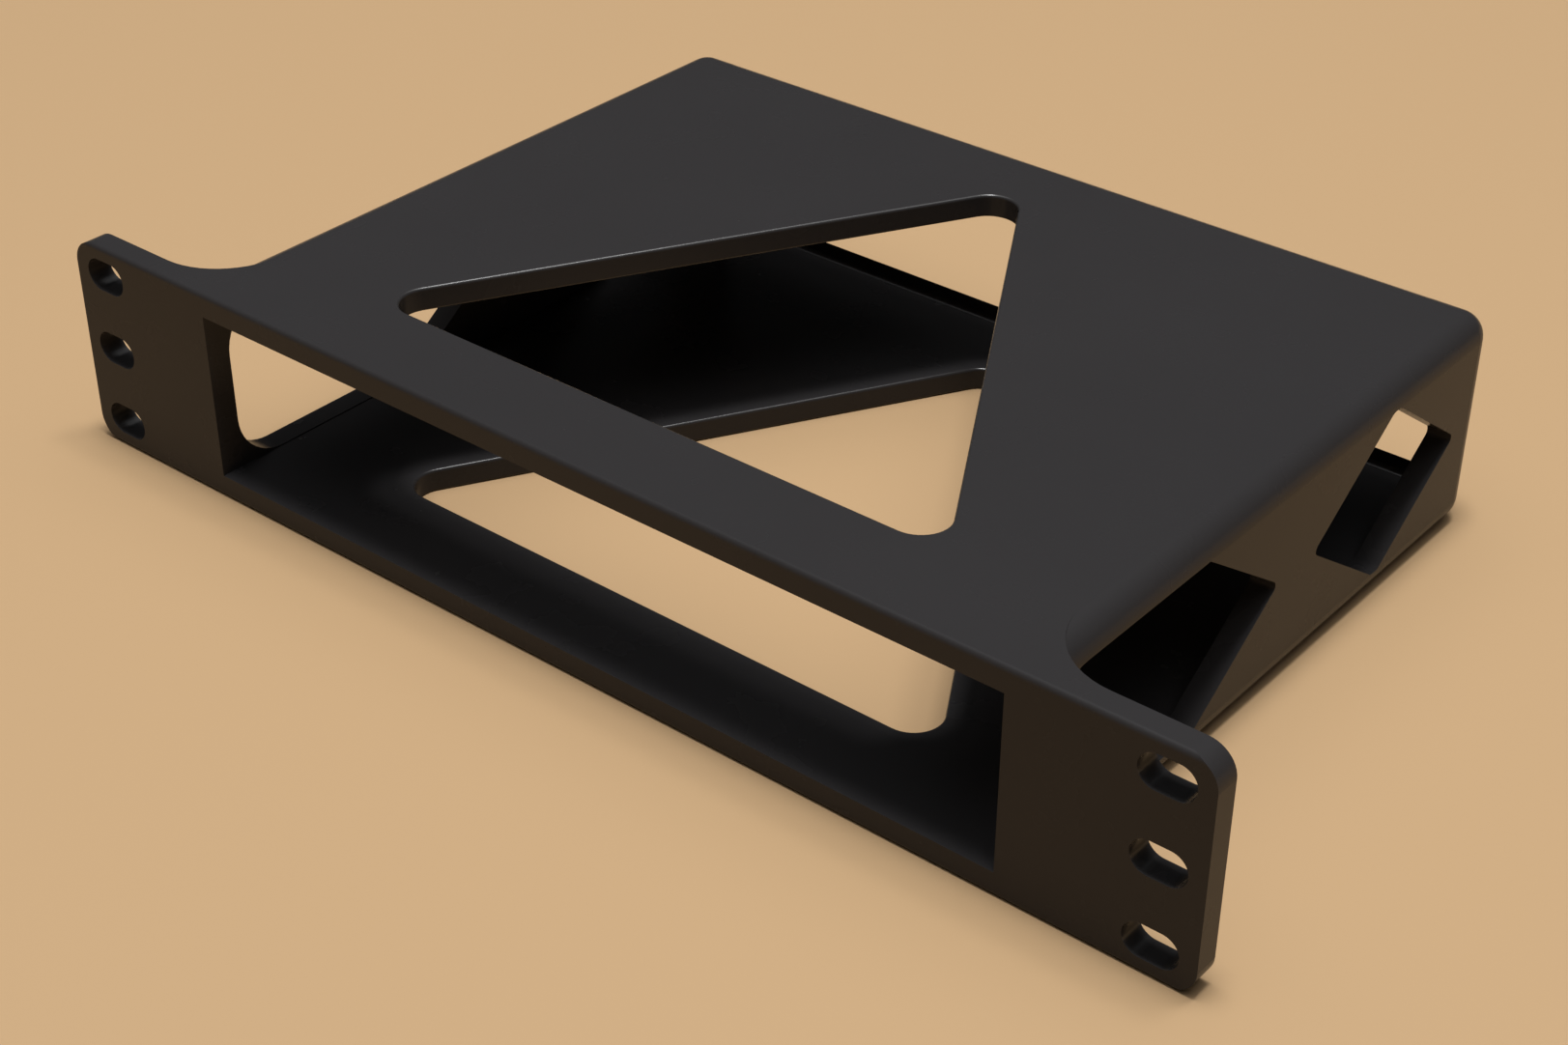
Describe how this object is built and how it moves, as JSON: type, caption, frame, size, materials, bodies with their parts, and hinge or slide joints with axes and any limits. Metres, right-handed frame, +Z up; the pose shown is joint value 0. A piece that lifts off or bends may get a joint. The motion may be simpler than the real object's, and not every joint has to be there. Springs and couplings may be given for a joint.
{
  "type": "rack mount panel",
  "caption": "One-piece ten-inch rack bracket: slotted front plate with an open box behind it for a flat device.",
  "frame": {"origin": "middle of the front face, and of the rack slots", "axes": "+X to the right seen from the front, +Y from the front face to the rear, +Z up"},
  "size_m": [0.254, 0.1465, 0.044],
  "materials": {
    "body": "matte"
  },
  "bodies": {
    "root": {"rack_panel": "body"}
  },
  "joints": []
}
